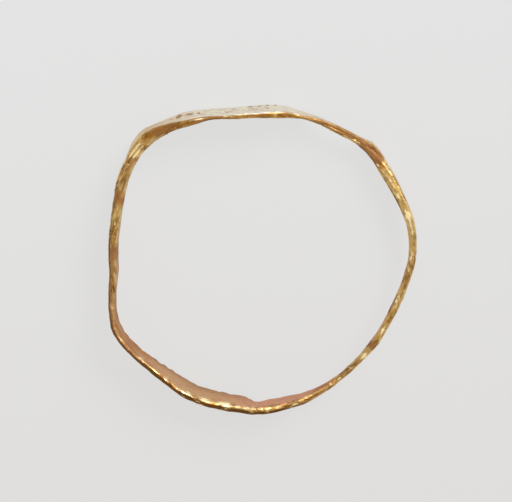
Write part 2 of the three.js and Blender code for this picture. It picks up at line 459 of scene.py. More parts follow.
class HammeringTree(GeometryTree):
    """Rounds a fine mesh, hammers facets and ripples into it, and wears its edges.

    The ranges are the values that a ramp eases from 0 to 1.
    """

    NAME = "hammered_surface"
    SETTINGS = HammerMarks
    LENGTHWISE = (1.0, 0.0, 0.0)
    LEVEL = (1.0, 1.0, 0.0)
    UP = (0.0, 0.0, 1.0)
    BITTEN = (0.5, 0.62)  # The noise at which the back edge begins to be torn, and is torn fully.
    BACK_EDGE = (0.35, 0.05)
    STANDING_OUT = (0.05, 1.0)
    LYING_IN = (0.05, 0.6)
    PIT = (0.32, 0.12)
    PITTED = (0.52, 0.66)
    SIDEWAYS = (0.15, 0.6)
    FACET_MEAN = 0.3
    DENT_MEAN = 0.28
    NICK_MEAN = 0.62

    def work(self, geometry: Wire) -> Wire:
        """Notches, rounds, marks and hammers the mesh.

        Args:
            geometry: The fine mesh.

        Returns:
            The hammered mesh.
        """
        notched = self.move(geometry, offset=self.notches())
        rounded = self.move(notched, position=self.blur(self.position(), self["Rounding"]))
        marked = self.mark_sides(self.mark_edges(rounded))
        return self.move(marked, offset=self.normal() * self.depth())

    def notches(self) -> Wire:
        """Returns how far each point near the back edge is lifted where the edge is torn."""
        along = self.flow(self.LENGTHWISE) + self.shift()
        bite = along.noise(self.per("Notch Size")).ramp(*self.BITTEN) * self["Notch Depth"]
        return self.vector(Z=bite * self.kept(Attribute.HEIGHT).ramp(*self.BACK_EDGE))

    def mark_edges(self, geometry: Wire) -> Wire:
        """Stores how far each point stands out from its surroundings, or lies in a hollow.

        Args:
            geometry: The rounded mesh.

        Returns:
            The mesh with its edge and hollow attributes.
        """
        place = self.position()
        around = self.blur(place, self["Edge Steps"])
        share = (place - around).dot(self.normal()) / self["Edge Scale"]
        edged = self.store(geometry, Attribute.EDGE, share.ramp(*self.STANDING_OUT))
        return self.store(edged, Attribute.HOLLOW, (-share).ramp(*self.LYING_IN))

    def mark_sides(self, geometry: Wire) -> Wire:
        """Stores how far each point faces away from the bore, and how far up.

        Args:
            geometry: The mesh to mark.

        Returns:
            The mesh with its outward and upward attributes.
        """
        radial = self.math("NORMALIZE", self.position() * self.LEVEL)
        normal = self.normal()
        sided = self.store(geometry, Attribute.OUTWARD, normal.dot(radial))
        return self.store(sided, Attribute.UPWARD, normal.dot(self.UP))

    def depth(self) -> Wire:
        """Adds up the swell, dents, facets, ripples, pits and nicks.

        Returns:
            How far each point moves along its normal.
        """
        shift = self.shift()
        place = self.position() + shift
        flow = self.flow(DRAWN_OUT) + shift
        cell, bowl = place.cells(self.per("Facet Size")), flow.cells(self.per("Dent Size"))
        facet = cell * cell - self.FACET_MEAN
        dent = bowl * bowl - self.DENT_MEAN
        knock = flow.noise(self.per("Dent Size")) - NOISE_MIDDLE
        level = abs(self.kept(Attribute.UPWARD))
        side = level.ramp(*self.SIDEWAYS, self["Face Share"], 1.0)
        ripple = place.noise(self.per("Ripple Size"), SMOOTH) - NOISE_MIDDLE
        pit = place.cells(self.per("Pit Size")).ramp(*self.PIT)
        sparse = place.noise(self.per("Facet Size"), FINE).ramp(*self.PITTED)
        nick = flow.noise(self.per("Nick Size")) - self.NICK_MEAN
        return (
            self["Swell"]
            + (dent + knock) * self["Dent Depth"] * side
            + facet * self["Facet Depth"]
            + ripple * (self["Ripple Depth"] * NOISE_SPAN)
            + pit * sparse * -self["Pit Depth"]
            + nick * self.kept(Attribute.EDGE) * (self["Nick Depth"] * NOISE_SPAN)
        )


@dataclass(frozen=True)
class Ornament(Settings):
    """A plain chain of lozenges with punched dots between two border lines, in metres."""

    start: float = -5.4 * MM
    end: float = 1.3 * MM
    middle: float = 1.38 * MM
    rise: float = 0.55 * MM
    count: int = 7
    border_low: float = 0.5 * MM
    border_high: float = 2.3 * MM
    line_width: float = 0.24 * MM
    line_depth: float = 0.06 * MM
    punch_width: float = 0.3 * MM
    punch_depth: float = 0.05 * MM


class EngravingTree(GeometryTree):
    """Sinks a chain of dotted lozenges and two border lines into what faces away from the bore."""

    NAME = "engraved_row"
    SETTINGS = Ornament
    UPRIGHT = (1.0, 0.0, 1.0)
    FACING_OUT = (0.8, 0.9)
    FLAT_SHARE = 0.15  # How much of a cut's half width has the full depth.

    def work(self, geometry: Wire) -> Wire:
        """Cuts the lines and dots.

        Args:
            geometry: The hammered mesh.

        Returns:
            The engraved mesh, with its engraved attribute.
        """
        lines = self.add("GeometryNodeJoinGeometry")
        borders = [self.row(self[height], 2) for height in ("Border Low", "Border High")]
        for line in (*borders, self.zigzag(1.0), self.zigzag(-1.0)):
            self.feed(lines.inputs[0], line)
        line_cut = self.cut(Wire(self, lines.outputs[0]), "EDGES", "Line Width")
        punch_cut = self.cut(self.dots(), "POINTS", "Punch Width")
        lowered = (line_cut * self["Line Depth"]).most(punch_cut * self["Punch Depth"])
        marked = self.store(geometry, Attribute.ENGRAVED, line_cut.most(punch_cut))
        return self.move(marked, offset=self.vector(Y=-lowered))

    def row(self, height: Wire, count: Value) -> Wire:
        """Lays evenly spaced points from the row's start to its end.

        Args:
            height: How high the points lie.
            count: How many points there are.

        Returns:
            The points, joined by a line.
        """
        start, end = (self.vector(X=self[name], Z=height) for name in ("Start", "End"))
        inputs = {"Count": count, "Start Location": start, "Offset": end}
        return self.out("GeometryNodeMeshLine", inputs, mode="END_POINTS", count_mode="TOTAL")

    def zigzag(self, way: float) -> Wire:
        """Makes one half of the lozenges: a line whose every second point is moved up or down.

        Args:
            way: 1 for the upper half, -1 for the lower half.

        Returns:
            The line.
        """
        line = self.row(self["Middle"], self["Count"] * 2.0 + 1.0)
        odd = self.out("GeometryNodeInputIndex") % 2.0
        return self.move(line, offset=self.vector(Z=odd * (self["Rise"] * way)))

    def dots(self) -> Wire:
        """Returns a dot in the middle of each lozenge."""
        pitch = (self["End"] - self["Start"]) / self["Count"]
        first = self.vector(X=self["Start"] + pitch / 2.0, Z=self["Middle"])
        inputs = {
            "Count": self["Count"], "Start Location": first, "Offset": self.vector(X=pitch)
        }
        return self.out("GeometryNodeMeshLine", inputs, mode="OFFSET", count_mode="TOTAL")

    def cut(self, target: Wire, element: str, width: str) -> Wire:
        """Measures how deep each point is cut, by its distance from the target.

        Args:
            target: The lines or points to measure from.
            element: EDGES or POINTS.
            width: The name of the input that gives the cut's width.

        Returns:
            The share of the cut's full depth.
        """
        inputs = {0: target, "Sample Position": self.position() * self.UPRIGHT}
        far = self.out("GeometryNodeProximity", inputs, "Distance", target_element=element)
        reach = self[width] * 0.5
        near = far.ramp(reach, reach * self.FLAT_SHARE)
        return near * self.kept(Attribute.OUTWARD).ramp(*self.FACING_OUT)


@dataclass(frozen=True)
class BeadShape(Settings):
    """The size and lumpiness of a solder bead. Lengths are in metres."""

    radius: float = 0.1 * MM
    step: float = 0.05 * MM
    lump_size: float = 0.4 * MM
    lump_share: float = 0.9
    seed: float = 6.0
    sides: int = 14


class SolderBeadTree(GeometryTree):
    """Draws an uneven round bead of solder along a line of points."""

    NAME = "solder_bead"
    SETTINGS = BeadShape
    THINNED_END = (0.0, 0.12, 0.35, 1.0)

    def work(self, geometry: Wire) -> Wire:
        """Sweeps a circle along the line.

        Args:
            geometry: The line.

        Returns:
            The bead, closed at both ends.
        """
        curve = self.out("GeometryNodeMeshToCurve", {"Mesh": geometry})
        inputs = {"Curve": curve, "Length": self["Step"]}
        evened = self.out(
            "GeometryNodeResampleCurve", inputs, keep_last_segment=True, mode="LENGTH"
        )
        inputs = {"Resolution": self["Sides"], "Radius": 1.0}
        profile = self.out("GeometryNodeCurvePrimitiveCircle", inputs)
        sweep = {"Curve": evened, "Profile Curve": profile, "Scale": self.radius()}
        return self.out("GeometryNodeCurveToMesh", {**sweep, "Fill Caps": True})

    def radius(self) -> Wire:
        """Returns the bead's radius, lumpy and thinned out towards both ends."""
        along = self.out("GeometryNodeSplineParameter", output="Factor")
        thinned = along.least(1.0 - along).ramp(*self.THINNED_END)
        lump = (self.position() + self.shift()).noise(self.per("Lump Size")) - NOISE_MIDDLE
        return self["Radius"] * (lump * self["Lump Share"] + 1.0) * thinned


class ShaderGroup(Group):
    """A shader group that turns a vector and some numbers into masks or heights."""

    def __init__(self, name: str, numbers: Iterable[str], outputs: Iterable[str]) -> None:
        """Makes the group with its vector and its numbers.

        Args:
            name: The group's name.
            numbers: The names of the inputs beside the vector.
            outputs: The names of the outputs.
        """
        inputs = {"Vector": VECTOR, **dict.fromkeys(numbers, FLOAT)}
        super().__init__(name, "ShaderNodeTree", inputs, dict.fromkeys(outputs, FLOAT))


class ShaderGroups:
    """The shader effects that the gold finishes share, each built once.

    The ranges are the values that a ramp eases from 0 to 1, or into the two results that follow.
    """

    STRETCHED = (0.3, 1.0, 1.0)
    DARK_LINE = (0.5, 0.38)
    LIGHT_LINE = (0.55, 0.68)
    WORN = (0.36, 0.62)
    SPECK = (0.58, 0.7)
    PATCH = (0.9, 1.35, 0.0, 0.85)
    TORN_SHARE = 0.45  # The scale of a patch's torn edge, next to that of the specks.
    DENT_SHARE, DENT_DEPTH = 0.35, 0.8
    SCRATCHED = (2.0, 2.0, 11.0)
    SCRATCH = (0.55, 0.63)
    SCRATCH_SCALE = 1.6
    GLEAM = (0.5, 0.68)

    def __init__(self) -> None:
        """Builds all the groups."""
        self.clouds = self.make_clouds()
        self.streaks = self.make_streaks()
        self.wear = self.make_wear()
        self.soil = self.make_soil()
        self.grain = self.make_grain()

    @staticmethod
    def make_clouds() -> ShaderGroup:
        """Returns the group for soft patches of another tone."""
        group = ShaderGroup("tone_clouds", ("Size", "Low", "High"), ("Mask",))
        value = group["Vector"].noise(1.0 / group["Size"], CLOUDY)
        group["Mask"] = value.ramp(group["Low"], group["High"])
        return group

    def make_streaks(self) -> ShaderGroup:
        """Returns the group for dark and light lines that run along the strip."""
        group = ShaderGroup("drawn_streaks", ("Size",), ("Dark", "Light"))
        line = (group["Vector"] * self.STRETCHED).noise(1.0 / group["Size"], STREAKY)
        group["Dark"] = line.ramp(*self.DARK_LINE)
        group["Light"] = line.ramp(*self.LIGHT_LINE)
        return group

    def make_wear(self) -> ShaderGroup:
        """Returns the group for edges that wear has rubbed bright."""
        group = ShaderGroup("edge_wear", ("Edge", "Size", "Amount"), ("Mask",))
        broken = group["Vector"].noise(1.0 / group["Size"], STREAKY).ramp(*self.WORN)
        group["Mask"] = group["Edge"] * broken * group["Amount"]
        return group

    def make_soil(self) -> ShaderGroup:
        """Returns the group for reddish soil in hollows, in specks and in patches."""
        group = ShaderGroup("red_soil", ("Hollow", "Patch", "Speck Size", "Amount"), ("Mask",))
        place, scale = group["Vector"], 1.0 / group["Speck Size"]
        speck = place.noise(scale, RUGGED).ramp(*self.SPECK)
        torn = place.noise(scale * self.TORN_SHARE, TORN)
        patch = (group["Patch"] + torn).ramp(*self.PATCH)
        group["Mask"] = group["Hollow"].most(speck * group["Amount"]).most(patch)
        return group

    def make_grain(self) -> ShaderGroup:
        """Returns the group for the fine relief: cast grain, dents and scratches."""
        group = ShaderGroup("fine_relief", ("Grain Size", "Grain", "Scratch"), ("Height", "Gleam"))
        place, scale = group["Vector"], 1.0 / group["Grain Size"]
        grain = place.noise(scale, CLOUDY)
        dents = place.cells(scale * self.DENT_SHARE) * self.DENT_DEPTH
        scratches = (place * self.SCRATCHED).noise(self.SCRATCH_SCALE, SCRATCHY)
        cut = scratches.ramp(*self.SCRATCH) * group["Scratch"]
        group["Height"] = (grain + dents) * group["Grain"] - cut
        group["Gleam"] = grain.ramp(*self.GLEAM)
        return group


GOLD = linear(226, 172, 90)
DEEP_GOLD = linear(182, 128, 64)
OLIVE_GOLD = linear(181, 123, 48)
# Worn edges, light streaks and the painted shine highlight.
BRIGHT_WEAR_AND_SHINE_GOLD = linear(250, 226, 158)
# The bezel's outer face: a painted reflection of the pale floor.
REFLECTION_CREAM_GOLD = linear(244, 234, 212)
TAN_GOLD = linear(212, 170, 122)
PINK_GOLD = linear(222, 160, 128)
# The bezel arms' outer face: a warmer painted reflection.
REFLECTION_WARM_GOLD = linear(222, 184, 132)
DARK_GOLD = linear(96, 58, 20)
# Painted shade along the front edge's outer side.
SHADED_RIM_GOLD = linear(118, 77, 36)
# The bezel's painted white highlight line.
HIGHLIGHT_WHITE_GOLD = linear(252, 246, 230)
# The outer side of hoops and solder: a painted reflection of the pale floor.
REFLECTION_SIDE_GOLD = linear(238, 214, 168)
# The colour of the painted glints.
GLINT_HIGHLIGHT_GOLD = linear(255, 238, 186)
SOIL = linear(143, 90, 43)
UMBER = linear(141, 93, 37)


@dataclass(frozen=True)
class GoldFinish:
    """One of the ring's gold finishes. Sizes are in millimetres, the bump's in metres."""

    name: str
    roughness: float
    inner_roughness: float
    soil_amount: float
    wear: float
    grain: float
    scratch: float
    gold: Colour = GOLD
    deep: Colour = DEEP_GOLD
    # pale and warm: the outer face's painted reflection of the pale floor.
    pale: Colour = REFLECTION_SIDE_GOLD
    warm: Colour = REFLECTION_SIDE_GOLD
    # bright: worn edges, light streaks and the painted shine highlight.
    bright: Colour = BRIGHT_WEAR_AND_SHINE_GOLD
    inner: Colour = TAN_GOLD
    blush: Colour = PINK_GOLD
    soil: Colour = SOIL
    dark: Colour = DARK_GOLD
    # rim: the painted rim's colour, shade on the hoops, a white highlight on the bezel.
    rim: Colour = SHADED_RIM_GOLD
    # gleam: the colour of the painted glints.
    gleam: Colour = GLINT_HIGHLIGHT_GOLD
    cloud_size: float = 0.9
    fade_size: float = 0.8
    blotch_size: float = 0.55
    wear_size: float = 0.4
    rim_reach: float = 0.5
    streak_size: float = 0.17
    streaks: float = 0.7
    side_streaks: float = 0.14
    grain_size: float = 0.16
    speck_size: float = 0.3
    bump_distance: float = 0.02 * MM

    def material(self, groups: ShaderGroups) -> Material:
        """Builds the finish as a material.

        Args:
            groups: The shared shader groups.

        Returns:
            The new material.
        """
        material = bpy.data.materials.new(self.name)
        material.use_nodes = True
        GoldShader(material.node_tree, self, groups).build()
        return material


class GoldShader(Graph):
    """The nodes of a gold finish: masks from the piece's attributes, then colour and relief.

    The ranges are the values that a ramp eases from 0 to 1, or into the two results that follow.
    """

    CLOUDED, FADED, BLOTCHED = (0.42, 0.62), (0.42, 0.6), (0.4, 0.7)
    OUTER, INNER, FRONT = (0.45, 0.85), (-0.45, -0.85), (0.0, 0.25)
    RUSTY = (0.85, 0.97, 1.0, 0.2)  # Rust is weak on what faces straight out.
    RIMMED, RIM_THERE = (0.84, 0.96), (0.0, 0.25)
    RIM_UNLIT = (1.0, 0.0, 0.2, 1.0)
    SHINE_LIT = (0.0, 0.8, 0.45, 1.0)
    BACK_HALF, BACK_EDGE = (0.6, 0.1, 0.0, 0.45), (0.13, 0.06, 0.0, 0.75)
    BROWNED, UNPINK, UNSHINY = (0.3, 0.9, 1.0, 1.5), (0.95, 0.4), (0.1, 0.8, 1.0, 0.2)
    GLINTING, GLINT_THERE = (0.3, 0.9, 0.0, 0.85), (0.1, 0.5)
    NOT_INNER, FRONT_EDGE = (0.6, 0.1), (0.72, 0.92)
    RAGGED_STRETCH, RAGGED_SCALE = (0.32, 1.0, 1.0), 5.0
    STAIN_SPREAD, BLOTCH_SPREAD = 2.4, 2.4
    GLINT_SPREAD, GLINT_MEAN = 6.0, 0.55
    DIM_SHARE, SOILED_RIM = 0.35, 0.3
    SOIL_ROUGH, WEAR_SMOOTH, GLEAM_SMOOTH = 0.3, 0.1, 0.08
    UNMETALLIC = 0.6  # How much of the metal's look soil and the painted glints take away.

    def __init__(self, tree: NodeTree, finish: GoldFinish, groups: ShaderGroups) -> None:
        """Makes the coordinates and the masks that several parts of the finish share.

        Args:
            tree: The material's node tree.
            finish: The finish's colours and sizes.
            groups: The shared shader groups.
        """
        super().__init__(tree)
        self.finish, self.groups = finish, groups
        self.place = self.out("ShaderNodeTexCoord", output="Object") * (1 / MM)
        self.flow = self.kept(Attribute.FLOW, "Vector") * (1 / MM)
        self.drawn = self.flow * DRAWN_OUT
        self.ragged = (self.flow * self.RAGGED_STRETCH).noise(self.RAGGED_SCALE, RUGGED)
        self.clouds = self.clouded(self.drawn, finish.cloud_size, self.CLOUDED)
        self.dark, self.light = (
            self.group(groups.streaks, name, vector=self.flow, size=finish.streak_size)
            for name in ("Dark", "Light")
        )
        self.wear = self.group(
            groups.wear, "Mask", vector=self.drawn, edge=self.kept(Attribute.EDGE),
            size=finish.wear_size, amount=finish.wear,
        )
        self.inner = self.kept(Attribute.OUTWARD).ramp(*self.INNER)
        self.front = abs(self.kept(Attribute.UPWARD)).ramp(*self.FRONT)
        self.soil = self.make_soil()
        self.glint = self.make_glint()

    def kept(self, name: Attribute, output: str = "Fac") -> Wire:
        """Reads one of the piece's own attributes."""
        return self.out("ShaderNodeAttribute", output=output, attribute_name=name.value)

    def group(self, group: ShaderGroup, output: str, **inputs: Value) -> Wire:
        """Places a shared group and returns one of its outputs."""
        named = {label(name): value for name, value in inputs.items()}
        return self.out("ShaderNodeGroup", named, output, node_tree=group.tree)

    def clouded(self, vector: Wire, size: float, span: tuple[float, float]) -> Wire:
        """Returns soft patches of a size, eased over a span of the noise."""
        low, high = span
        return self.group(
            self.groups.clouds, "Mask", vector=vector, size=size, low=low, high=high
        )

    def make_soil(self) -> Wire:
        """Returns where soil lies: in hollows and engraved lines, in specks and in patches."""
        facing = self.kept(Attribute.OUTWARD).ramp(*self.RUSTY)
        uneven = (self.ragged - NOISE_MIDDLE) * self.STAIN_SPREAD + 1.0
        # Stains and lines of painted shade, torn at their edges.
        stain = self.kept(Attribute.STAIN) * uneven
        faded = self.clouded(self.place, self.finish.fade_size, self.FADED)
        return self.group(
            self.groups.soil, "Mask", vector=self.drawn,
            hollow=self.kept(Attribute.HOLLOW).most(self.kept(Attribute.ENGRAVED) * faded),
            patch=(self.kept(Attribute.RUST) * facing).most(stain),
            speck_size=self.finish.speck_size, amount=self.finish.soil_amount,
        )

    def make_glint(self) -> Wire:
        """Returns the painted glints: torn spots of highlight colour on the front and the outer
        side.
        """
        torn = (self.ragged - self.GLINT_MEAN) * self.GLINT_SPREAD
        kept = self.kept(Attribute.GLINT)
        glint = (torn + kept).ramp(*self.GLINTING) * kept.ramp(*self.GLINT_THERE)
        front = self.kept(Attribute.HEIGHT).ramp(*self.FRONT_EDGE)
        return glint * self.inner.ramp(*self.NOT_INNER).most(front)

    def rim(self) -> Wire:
        """Returns where the front edge has its painted rim, which is ragged and broken by light."""
        # Painted shade on the hoops and solder, a painted white highlight on the bezel.
        kept, reach = self.kept(Attribute.RIM), self.finish.rim_reach
        side = self.kept(Attribute.ACROSS) + kept * reach + (self.ragged - NOISE_MIDDLE) * reach
        rim = side.ramp(*self.RIMMED) * kept.ramp(*self.RIM_THERE)
        return rim * self.front * self.light.ramp(*self.RIM_UNLIT)

    def back(self) -> Wire:
        """Returns how far the inner face is darkened towards its back edge, at the floor."""
        height = self.kept(Attribute.HEIGHT)
        back = height.ramp(*self.BACK_HALF).most(height.ramp(*self.BACK_EDGE))
        back = back * self.kept(Attribute.DEEP).ramp(*self.BROWNED)
        return self.inner * back * self.kept(Attribute.PINK).ramp(*self.UNPINK)

    def faces(self) -> Wire:
        """Returns the body's colour, the outer face's painted reflection and the blotched inner
        face.
        """
        finish, deep = self.finish, self.kept(Attribute.DEEP)
        clean = self.kept(Attribute.SHINE).ramp(*self.UNSHINY)
        tone = self.blend((self.clouds * clean).most(deep), finish.gold, finish.deep)
        # Painted reflection: what faces outward is painted paler, as if it mirrored the pale floor.
        outer = self.kept(Attribute.OUTWARD).ramp(*self.OUTER)
        pale = self.blend(self.kept(Attribute.WARM), finish.pale, finish.warm)
        tone = self.blend(outer, tone, pale)
        blotch = self.place.noise(1 / finish.blotch_size, RUGGED) - NOISE_MIDDLE
        pink = (blotch * self.BLOTCH_SPREAD + self.kept(Attribute.PINK)).ramp(0.0, 1.0)
        dim = self.clouded(self.place, finish.blotch_size, self.BLOTCHED)
        dim = dim.most(deep) * self.DIM_SHARE
        face = self.blend(dim, self.blend(pink, finish.inner, finish.blush), finish.deep)
        return self.blend(self.inner, tone, face)

    def colour(self) -> Wire:
        """Returns the colour: the faces', with streaks, wear, soil, painted rim and painted glints
        on top.
        """
        finish = self.finish
        span = finish.streaks - finish.side_streaks
        lines = self.front * span + finish.side_streaks
        # Painted highlight: shine blends the bright colour in, broken by the light streaks.
        shine = self.kept(Attribute.SHINE) * self.light.ramp(*self.SHINE_LIT)
        # The painted rim's colour, flecked with soil.
        rim = self.blend(self.clouds * self.SOILED_RIM, finish.rim, finish.soil)
        layers = (
            (self.dark * lines, finish.dark),
            (self.light * lines, finish.bright),
            (self.wear.most(shine), finish.bright),
            (self.soil.most(self.back()), finish.soil),
            (self.rim(), rim),
            (self.glint, finish.gleam),
        )
        tone = self.faces()
        for mask, colour in layers:
            tone = self.blend(mask, tone, colour)
        return tone

    def build(self) -> None:
        """Joins the colour, roughness, metal and relief in the shader."""
        finish = self.finish
        grain = {"grain_size": finish.grain_size, "grain": finish.grain, "scratch": finish.scratch}
        height, gleam = (
            self.group(self.groups.grain, name, vector=self.drawn, **grain)
            for name in ("Height", "Gleam")
        )
        rough = self.inner * (finish.inner_roughness - finish.roughness) + finish.roughness
        rough = rough + self.soil * self.SOIL_ROUGH - self.wear * self.WEAR_SMOOTH
        rough = rough - gleam * self.GLEAM_SMOOTH
        relief = {"Height": height, "Distance": finish.bump_distance, "Strength": 1.0}
        plain = (self.soil * self.UNMETALLIC).most(self.glint * self.UNMETALLIC)
        self.surface(self.add("ShaderNodeBsdfPrincipled", {
            "Base Color": self.colour(),
            "Roughness": rough,
            "Metallic": 1.0 - plain,
            "Normal": self.out("ShaderNodeBump", relief),
        }))


class Finish(Enum):
    """The three finishes, one for each material slot."""

    BEZEL = GoldFinish(
        "bezel_gold", roughness=0.36, inner_roughness=0.5, soil_amount=0.3, wear=0.4, grain=0.4,
        scratch=0.4, rim_reach=0.12, streaks=0.55, deep=OLIVE_GOLD, pale=REFLECTION_CREAM_GOLD,
        warm=REFLECTION_WARM_GOLD, soil=UMBER, rim=HIGHLIGHT_WHITE_GOLD,
    )
    HOOP = GoldFinish(
        "hoop_gold", roughness=0.35, inner_roughness=0.52, soil_amount=0.4, wear=0.55, grain=0.45,
        scratch=0.3,
    )
    SOLDER = GoldFinish(
        "solder_gold", roughness=0.42, inner_roughness=0.55, soil_amount=0.6, wear=0.25, grain=0.5,
        scratch=0.2,
    )


@dataclass(frozen=True)
class Tone:
    """How soiled, dark-rimmed, bright, brown, pink and warm the strip is at one bearing."""

    bearing: float
    rust: float = 0.0
    # Painted shade along the front edge's outer side; on the bezel, a painted white highlight line.
    rim: float = 0.0
    # A painted highlight, in the bright colour.
    shine: float = 0.0
    deep: float = 0.0
    pink: float = 0.0
    # Tints the outer face's painted reflection warmer.
    warm: float = 0.0


@dataclass(frozen=True)
class Spot:
    """A painted glint, a stain or a line of painted shade at one place on the strip.

    The bearing and the length are in degrees. How far across the strip it lies, its width, its
    height and how tall it is are shares of the strip.
    """

    bearing: float
    across: float
    length: float
    width: float = 0.13
    level: float = 1.0
    height: float = 0.5
    tall: float = 9.0

    def level_at(
        self, bearings: np.ndarray, across: np.ndarray, height: np.ndarray
    ) -> np.ndarray:
        """Returns the spot's level at points of those bearings and places on the strip."""
        far = ((bearings - self.bearing) / self.length) ** 2
        far = far + ((across - self.across) / self.width) ** 2
        return self.level * np.exp(-far - ((height - self.height) / self.tall) ** 2)


@dataclass(frozen=True)
class Trees:
    """The shared node trees and materials."""

    hammering: HammeringTree
    engraving: EngravingTree
    bead: SolderBeadTree
    materials: dict[Finish, Material]


@dataclass
class GoldPiece:
    """A piece of hammered gold that stands for one solid of the ring.

    Its tones, painted glints and stains lie at bearings, and its middle is the bearing halfway
    along it.
    Its low and high ends are drawn out by a length each, and dip towards the bore by another. Its
    front is raised, its inner face sunk and its outer face tucked, both towards the bore.
    """

    END_SHARE: ClassVar[float] = 0.98  # Where an end begins, as a share of half the piece.
    SLICE: ClassVar[float] = 1.0  # Degrees of the strip that are measured together.
    SAME_PLACE: ClassVar[float] = 1e-7  # Corners nearer than this are joined.

    node: str
    finish: Finish
    marks: HammerMarks
    tones: Sequence[Tone]
    # Painted glints of highlight colour.
    glints: Sequence[Spot] = ()
    stains: Sequence[Spot] = ()
    voxel: float = 0.022 * MM
    middle: float = 0.0
    low_end: float = 0.05 * MM
    high_end: float = 0.05 * MM
    raised: float = 0.0
    sunk: float = 0.0
    tucked: float = 0.0
    low_dip: float = 0.0
    high_dip: float = 0.0

    def build(self, trees: Trees) -> Object:
        """Makes the piece, dresses it and puts it in its solid's place.

        Args:
            trees: The shared node trees and materials.

        Returns:
            The finished piece.
        """
        piece = self.fine_copy(trees)
        self.keep_tones(piece)
        self.shape(piece, trees)
        self.rest(piece)
        self.put_in_place(piece)
        log.info("%s: %d faces", piece.name, len(piece.data.polygons))
        return piece

    def put_in_place(self, piece: Object) -> None:
        """Lets the piece ride with the part and stand for its solid."""
        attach(piece, "root")
        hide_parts(self.node)

    @staticmethod
    def rest(piece: Object) -> None:
        """Wears the piece nearly flat where its hammering would reach below the floor."""
        places = read_places(piece.data)
        places[:, 2] = np.where(places[:, 2] < 0, places[:, 2] * FLOOR_WEAR, places[:, 2])
        write_places(piece.data, places)

    def shape(self, piece: Object, trees: Trees) -> None:
        """Hammers the piece."""
        trees.hammering.run(piece, self.marks, trees.materials[self.finish])

    def fine_copy(self, trees: Trees) -> Object:
        """Copies the solid as an even mesh of small faces.

        Args:
            trees: The shared node trees and materials. Not used here.

        Returns:
            The copy, at the origin.
        """
        mesh = bpy.data.objects[self.node].data.copy()
        self.weld(mesh)
        self.run_together(mesh)
        mesh.materials.clear()
        mesh.transform(Matrix.Scale(1 / MM, 4))
        piece = add_object(f"{self.node}_gold", mesh)
        remesh = piece.modifiers.new("fine", "REMESH")
        remesh.mode = "VOXEL"
        remesh.voxel_size = self.voxel / MM
        remesh.use_smooth_shade = True
        keep_evaluated(piece)
        piece.data.transform(Matrix.Scale(MM, 4))
        return piece

    def weld(self, mesh: Mesh) -> None:
        """Joins a mesh's loose triangles at their shared corners."""
        shell = bmesh.new()
        shell.from_mesh(mesh)
        bmesh.ops.remove_doubles(shell, verts=shell.verts, dist=self.SAME_PLACE)
        shell.to_mesh(mesh)
        shell.free()

    def polar(self, places: np.ndarray) -> tuple[np.ndarray, np.ndarray]:
        """Measures points from the bore's middle.

        Args:
            places: The points.

        Returns:
            Their bearings, without a jump along the piece, and how far out they are.
        """
        flat = places[:, :2] - CENTRE
        around = np.degrees(np.arctan2(-flat[:, 0], flat[:, 1]))
        bearings = (around - self.middle + 180) % 360 - 180 + self.middle
        return bearings, np.hypot(flat[:, 0], flat[:, 1])

    def run_together(self, mesh: Mesh) -> None:
        """Draws the ends out round the bore, raises the front and sinks or tucks in the faces.

        So the pieces run into each other, as the soldered strips do.

        Args:
            mesh: The copy of the solid.
        """
        places = read_places(mesh)
        bearings, reach = self.polar(places)
        middle = (bearings.min() + bearings.max()) / 2
        beyond = (bearings - middle) / (bearings.max() - middle)
        at_high, at_low = beyond > self.END_SHARE, beyond < -self.END_SHARE
        grown = np.radians(bearings) + (at_high * self.high_end - at_low * self.low_end) / reach
        reach = reach - np.where(self.shares(bearings, reach) < 0.5, self.sunk, self.tucked)
        reach = reach - at_high * self.high_dip - at_low * self.low_dip
        places[:, 2] += (self.shares(bearings, places[:, 2]) > 0.5) * self.raised
        places[:, 0] = CENTRE[0] - reach * np.sin(grown)
        places[:, 1] = CENTRE[1] + reach * np.cos(grown)
        write_places(mesh, places)

    def shares(self, bearings: np.ndarray, values: np.ndarray) -> np.ndarray:
        """Measures a value between its lowest and highest on the strip at each bearing.

        Args:
            bearings: The points' bearings.
            values: The points' values.

        Returns:
            Each point's share, 0 to 1.
        """
        slices = np.floor((bearings - bearings.min()) / self.SLICE).astype(int)
        low = np.full(slices.max() + 1, np.inf)
        high = -low
        np.minimum.at(low, slices, values)
        np.maximum.at(high, slices, values)
        middles = bearings.min() + (np.arange(len(low)) + 0.5) * self.SLICE
        lows, highs = np.interp(bearings, middles, low), np.interp(bearings, middles, high)
        return np.clip((values - lows) / (highs - lows), 0, 1)

    def keep_tones(self, piece: Object) -> None:
        """Stores each point's place on the strip, its soil, painted rim and glints, and other
        tones.

        Args:
            piece: The fine copy.
        """
        places = read_places(piece.data)
        bearings, reach = self.polar(places)
        flow = np.column_stack((np.radians(bearings) * FLOW_REACH, reach, places[:, 2]))
        kept = piece.data.attributes.new(Attribute.FLOW.value, "FLOAT_VECTOR", "POINT")
        kept.data.foreach_set("vector", flow.ravel().astype(np.float32))
        across, height = self.shares(bearings, reach), self.shares(bearings, places[:, 2])
        levels = {Attribute.ACROSS: across, Attribute.HEIGHT: height}
        rows = sorted(self.tones, key=lambda tone: tone.bearing)
        stops, *names = (item.name for item in fields(Tone))
        columns = {name: [getattr(tone, name) for tone in rows] for name in (stops, *names)}
        for name in names:
            levels[Attribute(name)] = np.interp(bearings, columns[stops], columns[name])
        for kind, spots in ((Attribute.GLINT, self.glints), (Attribute.STAIN, self.stains)):
            levels[kind] = np.zeros(len(bearings))
            for spot in spots:
                levels[kind] = np.maximum(levels[kind], spot.level_at(bearings, across, height))
        for name, values in levels.items():
            kept = piece.data.attributes.new(name.value, "FLOAT", "POINT")
            kept.data.foreach_set("value", values.astype(np.float32))


